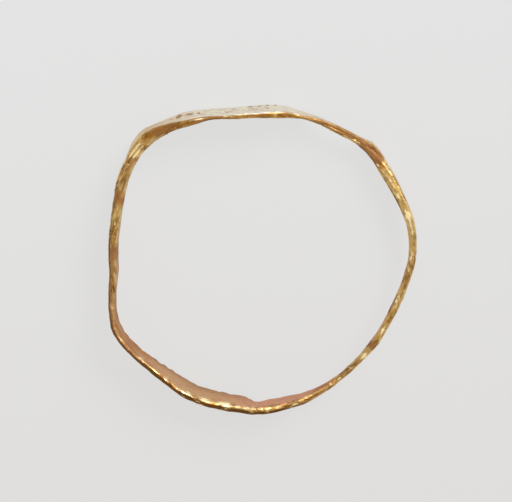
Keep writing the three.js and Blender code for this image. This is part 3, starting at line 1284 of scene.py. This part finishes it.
@dataclass
class BezelBand(GoldPiece):
    """The flattened bezel and its two arms, with an engraved row on its face.

    The solid's coarse grooves lie within its row and the row's heights, and aren't as deep as its
    depth.
    """

    ornament: Ornament = Ornament()
    row: tuple[float, float] = (-3.25 * MM, 0.58 * MM)
    row_heights: tuple[float, float] = (0.38 * MM, 2.42 * MM)
    row_depth: float = 0.09 * MM

    def fine_copy(self, trees: Trees) -> Object:
        """Copies the solid and levels its coarse grooves, because the finer row takes their place.

        Args:
            trees: The shared node trees and materials.

        Returns:
            The copy, at the origin.
        """
        piece = super().fine_copy(trees)
        level = read_places(bpy.data.objects[self.node].data)[:, 1].max()
        places = read_places(piece.data)
        along, out, height = places.T
        grooved = (along > self.row[0]) & (along < self.row[1]) & (out > level - self.row_depth)
        grooved &= (height > self.row_heights[0]) & (height < self.row_heights[1])
        places[grooved, 1] = level
        write_places(piece.data, places)
        return piece

    def shape(self, piece: Object, trees: Trees) -> None:
        """Hammers the strip and engraves its face."""
        super().shape(piece, trees)
        trees.engraving.run(piece, self.ornament, trees.materials[self.finish])


@dataclass
class LapBead(GoldPiece):
    """The solder that stands in the groove between the hoop's end and what lies outside it.

    It is drawn over a span of bearings, a little beside and below the hoop's outer front rim.
    """

    span: tuple[float, float] = (31.0, 62.0)
    bead: BeadShape = BeadShape()
    beside: float = 0.01 * MM
    below: float = 0.05 * MM

    def put_in_place(self, piece: Object) -> None:
        """Lets the bead ride with the part, beside the solids."""
        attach(piece, "root")

    def fine_copy(self, trees: Trees) -> Object:
        """Draws the bead along the outer rim of the hoop's front edge.

        Args:
            trees: The shared node trees and materials.

        Returns:
            The bead, at the origin.
        """
        rim = self.rim_points()
        mesh = bpy.data.meshes.new("bead")
        mesh.from_pydata(rim, [(step, step + 1) for step in range(len(rim) - 1)], [])
        piece = add_object(f"{self.node}_bead", mesh)
        trees.bead.run(piece, self.bead, trees.materials[self.finish])
        return piece

    def rim_points(self) -> list[tuple[float, float, float]]:
        """Returns the points of the hoop's outer front rim within the span, from its solid."""
        places = read_places(bpy.data.objects[self.node].data)
        bearings, reach = self.polar(places)
        bearings = np.round(bearings, 2)
        rim = []
        for station in np.unique(bearings):
            if self.span[0] <= station <= self.span[1]:
                here = bearings == station
                out, turn = reach[here].max() + self.beside, math.radians(station)
                top = places[here, 2].max() - self.below
                across, up = -out * math.sin(turn), out * math.cos(turn)
                rim.append((CENTRE[0] + across, CENTRE[1] + up, top))
        return rim


@dataclass(frozen=True)
class PictureCamera:
    """A camera above the ring, tilted towards the bezel.

    Lengths are in metres and angles in degrees. The target lies right of and below the picture's
    middle by as many of its pixels.
    """

    distance: float = 155 * MM
    tilt: float = 13.8
    turn: float = 4.5
    target: tuple[float, float, float] = (*CENTRE, 1.7 * MM)
    field_width: float = 34.3 * MM
    target_right: float = 7.35
    target_below: float = 9.35
    picture_width: int = 512
    sensor_width: float = 36.0
    clip_start: float = 0.01
    clip_end: float = 10.0

    def build(self) -> Object:
        """Makes the camera and gives it to the scene.

        Returns:
            The camera's object.
        """
        upright = Vector((math.sin(math.radians(self.turn)), math.cos(math.radians(self.turn)), 0))
        tilt = math.radians(self.tilt)
        back = upright * math.sin(tilt) + Vector((0, 0, math.cos(tilt)))
        up = upright * math.cos(tilt) - Vector((0, 0, math.sin(tilt)))
        data = bpy.data.cameras.new("camera")
        data.sensor_width = self.sensor_width
        data.lens = self.sensor_width * self.distance / self.field_width
        data.shift_x = -self.target_right / self.picture_width
        data.shift_y = self.target_below / self.picture_width
        data.clip_start, data.clip_end = self.clip_start, self.clip_end
        camera = add_object("camera", data)
        turned = Matrix((up.cross(back), up, back)).transposed().to_4x4()
        place = Vector(self.target) + back * self.distance
        camera.matrix_world = Matrix.Translation(place) @ turned
        bpy.context.scene.camera = camera
        return camera


@dataclass(frozen=True)
class Studio:
    """A pale floor that rises to a low wall all round, a soft lamp and a grey sky.

    Lengths are in metres and angles in degrees. The floor turns to its lit side colour between the
    two values of y in far: painted light, lighter towards +Y, the lamp's side. Its evenness is how
    much of its look is that colour and not its shading.
    """

    floor_colour: Colour = linear(222, 221, 219)
    far_colour: Colour = linear(227, 227, 227)
    far: tuple[float, float] = (-25 * MM, 25 * MM)
    evenness: float = 0.9
    sky: float = 0.6
    floor_drop: float = 0.02 * MM
    floor_radius: float = 0.45
    wall_radius: float = 0.2
    wall_height: float = 0.02
    wall_bends: int = 8
    sides: int = 96
    lamp_strength: float = 2.6
    lamp_angle: float = 30.0
    lamp_elevation: float = 38.0
    lamp_turn: float = -42.0

    def build(self) -> None:
        """Makes the floor, the lamp and the sky."""
        self.build_floor()
        self.build_lamp()
        self.build_sky()
        log.info("studio: floor, lamp and sky")

    def profile(self) -> list[tuple[float, float]]:
        """Returns how far out and how high each ring of the floor's points is."""
        rings = [(self.floor_radius / 2, 0.0), (self.floor_radius, 0.0)]
        for step in range(1, self.wall_bends + 1):
            angle = math.radians(90 * step / self.wall_bends)
            out = self.floor_radius + self.wall_radius * math.sin(angle)
            rings.append((out, self.wall_radius * (1 - math.cos(angle))))
        top = (self.floor_radius + self.wall_radius, self.wall_radius + self.wall_height)
        return [*rings, top]

    def build_floor(self) -> Object:
        """Turns the floor's profile round the upright axis.

        Returns:
            The floor's object.
        """
        sides, rings = self.sides, self.profile()
        places = [(0.0, 0.0, -self.floor_drop)]
        for out, height in rings:
            for turn in (math.tau * side / sides for side in range(sides)):
                level = height - self.floor_drop
                places.append((out * math.cos(turn), out * math.sin(turn), level))
        faces = []
        for side in range(sides):
            near, after = 1 + side, 1 + (side + 1) % sides
            faces.append((0, near, after))
            for low in range(0, sides * (len(rings) - 1), sides):
                high = low + sides
                faces.append((low + near, high + near, high + after, low + after))
        mesh = bpy.data.meshes.new("floor")
        mesh.from_pydata(places, [], faces)
        mesh.shade_smooth()
        mesh.materials.append(self.floor_material())
        floor = add_object("floor", mesh)
        return floor

    def floor_material(self) -> Material:
        """Returns the floor's matt pale finish, which shows its own colour with a faint shadow."""
        material = bpy.data.materials.new("pale_floor")
        material.use_nodes = True
        graph = Graph(material.node_tree)
        place = graph.out("ShaderNodeTexCoord", output="Object")
        along = graph.out("ShaderNodeSeparateXYZ", {0: place}, "Y")
        # Painted light: the floor is a little lighter towards +Y, the lamp's side.
        colour = graph.blend(along.ramp(*self.far), self.floor_colour, self.far_colour)
        rays = graph.add("ShaderNodeLightPath").outputs
        camera, glossy, through = (
            Wire(graph, rays[f"Is {kind} Ray"]) for kind in ("Camera", "Glossy", "Transmission")
        )
        share = camera.most(glossy).most(through) * self.evenness
        lit = graph.out("ShaderNodeBsdfDiffuse", {"Color": colour})
        even = graph.out("ShaderNodeEmission", {"Color": colour})
        graph.surface(graph.add("ShaderNodeMixShader", {0: share, 1: lit, 2: even}))
        return material

    def build_lamp(self) -> Object:
        """Makes the soft lamp at the picture's upper right.

        Returns:
            The lamp's object.
        """
        data = bpy.data.lights.new("soft_lamp", "SUN")
        data.energy = self.lamp_strength
        data.angle = math.radians(self.lamp_angle)
        lamp = add_object("soft_lamp", data)
        rise, turn = math.radians(self.lamp_elevation), math.radians(self.lamp_turn)
        level = math.cos(rise)
        towards = Vector((-level * math.sin(turn), level * math.cos(turn), math.sin(rise)))
        lamp.rotation_euler = towards.to_track_quat("Z", "Y").to_euler()
        return lamp

    def build_sky(self) -> World:
        """Makes the even grey light from all sides.

        Returns:
            The world.
        """
        world = bpy.data.worlds.new("sky")
        world.use_nodes = True
        background = next(node for node in world.node_tree.nodes if node.type == "BACKGROUND")
        background.inputs["Color"].default_value = (1.0, 1.0, 1.0, 1.0)
        background.inputs["Strength"].default_value = self.sky
        bpy.context.scene.world = world
        return world


# In the tone tables rim is painted: shade along the hoops' outer front edge, a white highlight line
# on the bezel. Shine is a painted highlight, and warm tints the outer face's painted reflection.
BEZEL_TONES = (
    Tone(-48, rust=0.85, deep=1, warm=1), Tone(-45, rust=1, deep=1, warm=1),
    Tone(-41, rust=0.9, deep=1, warm=1), Tone(-36, rust=0.75, deep=1, warm=0.8),
    Tone(-30, rust=0.8, deep=1, warm=0.5), Tone(-24, rust=0.6, deep=1, warm=0.4),
    Tone(-17, rust=0.6, deep=1, warm=0.1), Tone(-12, rust=0.4, rim=0.15, deep=0.8),
    Tone(-8, rust=0.5, rim=0.4, deep=0.9), Tone(-5, rust=0.55, rim=0.8, deep=1),
    Tone(-2, rust=0.5, rim=1, deep=0.9), Tone(4, rust=0.45, rim=0.9, deep=0.9),
    Tone(8, rust=0.45, rim=0.4, deep=0.9), Tone(13, rust=0.85, rim=0.1, deep=1),
    Tone(18, rust=0.8, deep=1), Tone(22, rust=0.55, deep=1, warm=0.1),
    Tone(28, rust=0.7, deep=0.9, warm=0.4), Tone(34, rust=0.85, deep=0.9, warm=0.9),
    Tone(37.5, rust=0.2, deep=0.4, warm=1), Tone(41, shine=0.6, deep=0.2, warm=1),
    Tone(45, shine=0.5, deep=0.3, warm=1), Tone(48, rust=0.4, deep=0.6, warm=1),
)
LEFT_TONES = (
    Tone(31, rust=0.6, deep=0.9), Tone(38, rust=0.4, deep=0.6),
    Tone(41, rust=0.3, shine=0.1, deep=0.6), Tone(46, rust=0.6, shine=0.1, deep=0.7, pink=0.3),
    Tone(49, rust=0.4, shine=0.3, deep=0.4, pink=0.4),
    Tone(54, rust=0.45, shine=0.2, deep=0.4, pink=0.4),
    Tone(57, rust=0.45, rim=0.1, shine=0.3, deep=0.4, pink=0.3),
    Tone(60, rust=0.8, rim=0.1, deep=0.7, pink=0.2), Tone(63, rust=0.7, rim=0.15, deep=0.5),
    Tone(66, rust=0.2, rim=0.15, shine=0.4, deep=0.2),
    Tone(72, rust=0.3, rim=0.15, shine=0.1, deep=0.5), Tone(77, rust=0.5, rim=0.2, deep=0.7),
    Tone(80, rust=0.85, rim=0.2, deep=1), Tone(83, rust=0.8, rim=0.2, deep=1),
    Tone(86, rust=0.5, rim=0.2, deep=1), Tone(95, rust=0.5, rim=0.2, deep=1),
    Tone(99, rust=0.75, rim=0.25, deep=1), Tone(102, rust=0.7, rim=0.3, deep=1),
    Tone(108, rust=0.7, rim=0.6, deep=0.9, pink=0.2),
    Tone(118, rust=0.75, rim=1.3, deep=0.9, pink=0.3),
    Tone(127, rust=0.6, rim=1.25, deep=0.8, pink=0.4),
    Tone(134, rust=0.2, rim=1.45, deep=0.4, pink=0.3),
    Tone(141, rust=0.1, rim=1.6, deep=0.3, pink=0.2),
    Tone(153, rust=0.1, rim=1.7, deep=0.3, pink=0.2),
    Tone(160, rust=0.1, rim=1.2, deep=0.2, pink=0.4),
    Tone(168, rust=0.1, rim=0.9, deep=0.3, pink=0.6),
    Tone(174, rust=0.2, rim=1, deep=0.4, pink=0.7),
)
RIGHT_TONES = (
    Tone(-187, rust=0.2, rim=0.8, deep=0.4, pink=0.9),
    Tone(-178, rust=0.1, rim=0.7, deep=0.4, pink=1.2),
    Tone(-172, rust=0.2, rim=0.25, deep=0.6, pink=1.3),
    Tone(-162, rust=0.6, rim=0.1, deep=0.9, pink=1.1), Tone(-157, rust=0.6, deep=0.9, pink=0.9),
    Tone(-154, rust=0.5, deep=0.7), Tone(-151, rust=0.1, deep=0.6),
    Tone(-149, rust=0.15, deep=0.6), Tone(-146.5, deep=0.4), Tone(-143, rust=0.4, deep=0.7),
    Tone(-139, shine=0.6), Tone(-136, rust=0.5, deep=0.6), Tone(-133, rust=0.85, rim=0.1, deep=1),
    Tone(-130, rust=0.3, deep=0.5), Tone(-125, shine=0.7), Tone(-121, rust=0.6, rim=0.1, deep=0.7),
    Tone(-118, rust=0.15, rim=0.1, deep=0.3), Tone(-108, deep=0.1, shine=0.5),
    Tone(-103, rust=0.5, rim=0.1, deep=0.8), Tone(-98, rust=0.5, rim=0.1, deep=0.7),
    Tone(-94, shine=0.3, rim=0.1, deep=0.2), Tone(-88, shine=0.6, deep=0.1), Tone(-82, shine=0.8),
    Tone(-78, shine=1), Tone(-75, rust=0.1, shine=0.7), Tone(-70, rim=0.13, shine=0.6),
    Tone(-64, rust=0.1, rim=0.15, shine=0.6, deep=0.1), Tone(-59, rim=0.14, shine=0.7),
    Tone(-55.5, rust=0.3, deep=0.4), Tone(-52, rust=1.5, deep=1), Tone(-47, rust=1.5, deep=1),
    Tone(-42, rust=0.35, deep=0.3), Tone(-36, rust=0.2, deep=0.3), Tone(-28, rust=0.5, deep=0.6),
)
JOINT_TONES = (
    Tone(-60, rust=0.2, shine=0.2, deep=0.4), Tone(-56, rust=0.4, deep=0.6),
    Tone(-52, rust=1.05, deep=1), Tone(-48, rust=0.9, deep=1), Tone(-42, rust=0.9, deep=1),
    Tone(-36, rust=0.7, deep=1), Tone(-27, rust=0.6, deep=1), Tone(31, rust=0.6, deep=0.9),
    Tone(37, rust=0.4, deep=0.6), Tone(41, shine=0.8, deep=0.1),
    Tone(46, rust=0.2, shine=0.6, deep=0.2, pink=0.3),
    Tone(50, rust=0.35, shine=0.3, deep=0.4, pink=0.3),
    Tone(56, rust=0.3, shine=0.2, deep=0.5, pink=0.3), Tone(60, rust=0.5, rim=0.1, deep=0.7),
)
SEAM_TONES = (Tone(174, rust=0.2, rim=1.1, deep=0.4, pink=0.7),)
# Painted glints: spots of highlight colour, less metallic, that look lit under any lamp.
BEZEL_GLINTS = (
    Spot(-30, 0.7, 1.5, 0.25, 0.4), Spot(43.5, 0.45, 3.2, 0.16, 2.1),
    Spot(19, 0.72, 7.0, 0.12, 0.65), Spot(9, 0.7, 5.0, 0.12, 0.5),
)
BEZEL_STAINS = (
    Spot(16, 0.98, 4.0, 0.2, 1.3, 1.0, 0.08), Spot(25.5, 0.98, 1.1, 0.15, 1.5, 0.42, 0.22),
    Spot(21.8, 0.98, 1.6, 0.15, 1.3, 0.4, 0.16), Spot(18.8, 0.98, 0.8, 0.15, 1.2, 0.42, 0.1),
    Spot(8.6, 0.98, 1.3, 0.15, 1.2, 0.62, 0.08), Spot(0.5, 0.98, 1.2, 0.15, 1.3, 0.16, 0.08),
    Spot(-3, 0.98, 1.3, 0.15, 1.2, 0.2, 0.08), Spot(-9, 0.98, 0.8, 0.15, 1.4, 0.12, 0.07),
    Spot(-6, 0.98, 0.8, 0.15, 1.4, 0.12, 0.07), Spot(-13, 0.98, 5.0, 0.2, 1.1, 1.0, 0.1),
)
# Painted glints of highlight colour.
LEFT_GLINTS = (
    Spot(43, 0.8, 2.6, 0.16), Spot(56.5, 0.4, 0.9, 0.3, 0.9), Spot(66.5, 0.35, 1.0, 0.2, 0.9),
    Spot(70, 0.4, 0.9, 0.2, 0.8), Spot(74.5, 0.35, 1.0, 0.15, 0.7),
    Spot(124.5, 0.14, 2.4, 0.12, 0.8), Spot(136, 0.14, 0.9, 0.14, 1.5),
    Spot(145, 0.12, 2.6, 0.15, 1.6), Spot(152.5, 0.12, 2.4, 0.16, 1.7),
    Spot(160.5, 0.16, 2.2, 0.22, 1.9), Spot(165.4, 0.16, 1.3, 0.18),
    Spot(168.6, 0.14, 1.6, 0.16, 1.1), Spot(172, 0.1, 1.4, 0.12, 1.1),
)
# Painted glints of highlight colour.
RIGHT_GLINTS = (
    Spot(-183, 0.35, 0.9, 0.2, 1.2), Spot(-179, 0.3, 1.2, 0.15, 1.2),
    Spot(-172.5, 0.4, 2.2, 0.2, 1.3), Spot(-168, 0.3, 1.2, 0.16, 1.1),
    Spot(-161, 0.3, 1.6, 0.1, 0.3), Spot(-152.7, 0.4, 1.2, 0.22, 1.2),
    Spot(-146, 0.3, 1.0, 0.15, 1.3), Spot(-139, 0.45, 2.6, 0.3, 1.1),
    Spot(-125.7, 0.35, 2.0, 0.25, 1.3), Spot(-112, 0.35, 3.6, 0.2, 1.3),
    Spot(-98.5, 0.35, 1.6, 0.12, 0.9), Spot(-93, 0.4, 2.4, 0.3, 0.9),
    Spot(-80, 0.5, 5.5, 0.28, 1.2), Spot(-80.5, 0.45, 1.4, 0.26, 1.4),
    Spot(-75, 0.55, 2.2, 0.25, 1.4), Spot(-68, 0.35, 1.2, 0.2, 1.3),
    Spot(-62.5, 0.5, 4.0, 0.14, 1.1), Spot(-57, 0.45, 1.4, 0.2), Spot(-54, 0.3, 1.0, 0.15),
)
# Stains; the two at across 0.05 paint a line of shade along the inner edge.
RIGHT_STAINS_AND_SHADE = (
    Spot(-149, 0.4, 1.4, 0.14, 0.7), Spot(-160.5, 0.4, 2.0, 0.2, 0.8),
    Spot(-155.2, 0.3, 2.2, 0.2, 0.9), Spot(-101.5, 0.35, 1.6, 0.3),
    Spot(-69, 0.05, 7.0, 0.12, 1.2), Spot(-115, 0.05, 5.0, 0.1, 0.9),
)
# A painted glint along the left lap bead.
LAP_GLINTS = (Spot(43.0, 0.5, 3.2, 9.0, 1.9),)


def ring_pieces() -> list[GoldPiece]:
    """Lists the ring's pieces with their finishes, marks and tones."""
    bezel = HammerMarks(
        facet_depth=0.015 * MM, ripple_depth=0.02 * MM, face_share=0.15, rounding=5, seed=1.0
    )
    left = HammerMarks(
        swell=0.05 * MM, nick_depth=0.07 * MM, notch_depth=0.3 * MM, rounding=6, seed=2.0
    )
    right = HammerMarks(swell=0.045 * MM, rounding=9, seed=3.0)
    seam = HammerMarks(swell=-0.035 * MM, facet_depth=0.0, dent_depth=0.01 * MM, seed=5.0)
    solder = HammerMarks(
        facet_size=0.35 * MM, facet_depth=0.018 * MM, ripple_size=0.7 * MM,
        ripple_depth=0.025 * MM, pit_size=0.12 * MM, pit_depth=0.015 * MM, nick_size=0.2 * MM,
        face_share=0.8, rounding=10, seed=4.0,
    )
    bead = HammerMarks(
        swell=0.0, facet_depth=0.0, dent_depth=0.03 * MM, rounding=1, face_share=1.0, seed=6.0
    )
    return [
        BezelBand(
            "bezel_band", Finish.BEZEL, bezel, BEZEL_TONES, BEZEL_GLINTS, BEZEL_STAINS,
            voxel=0.0335 * MM,
        ),
        GoldPiece(
            "left_hoop", Finish.HOOP, left, LEFT_TONES, LEFT_GLINTS,
            voxel=0.0435 * MM, middle=102.0, high_end=0.3 * MM,
        ),
        GoldPiece(
            "right_hoop", Finish.HOOP, right, RIGHT_TONES, RIGHT_GLINTS, RIGHT_STAINS_AND_SHADE,
            voxel=0.032 * MM, middle=-107.0, low_end=0.3 * MM,
        ),
        GoldPiece(
            "left_shoulder_solder", Finish.SOLDER, solder, JOINT_TONES, middle=54.0,
            low_end=0.0, high_end=0.3 * MM, raised=0.07 * MM, sunk=0.12 * MM,
            low_dip=0.24 * MM, high_dip=0.16 * MM,
        ),
        GoldPiece(
            "right_shoulder_solder", Finish.SOLDER, solder, JOINT_TONES, middle=-54.0,
            low_end=0.3 * MM, high_end=0.12 * MM, raised=0.1 * MM, sunk=0.12 * MM,
            tucked=0.05 * MM, low_dip=0.12 * MM,
        ),
        GoldPiece(
            "base_seam_solder", Finish.SOLDER, seam, SEAM_TONES,
            voxel=0.018 * MM, middle=174.0, raised=-0.04 * MM, tucked=0.06 * MM,
        ),
        LapBead(
            "left_hoop", Finish.SOLDER, bead, JOINT_TONES, LAP_GLINTS,
            middle=46.0, span=(31.0, 50.0),
        ),
        LapBead("right_hoop", Finish.SOLDER, bead, JOINT_TONES, middle=-46.0, span=(-50.0, -27.0)),
    ]


def main() -> None:
    """Builds the ring, its studio and its camera."""
    logging.basicConfig(level=logging.INFO, format="%(name)s %(message)s")
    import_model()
    bpy.context.scene.view_settings.view_transform = "Standard"
    PictureCamera().build()
    Studio().build()
    groups = ShaderGroups()
    materials = {finish: finish.value.material(groups) for finish in Finish}
    trees = Trees(HammeringTree(), EngravingTree(), SolderBeadTree(), materials)
    for piece in ring_pieces():
        piece.build(trees)


if __name__ == "__main__":
    main()
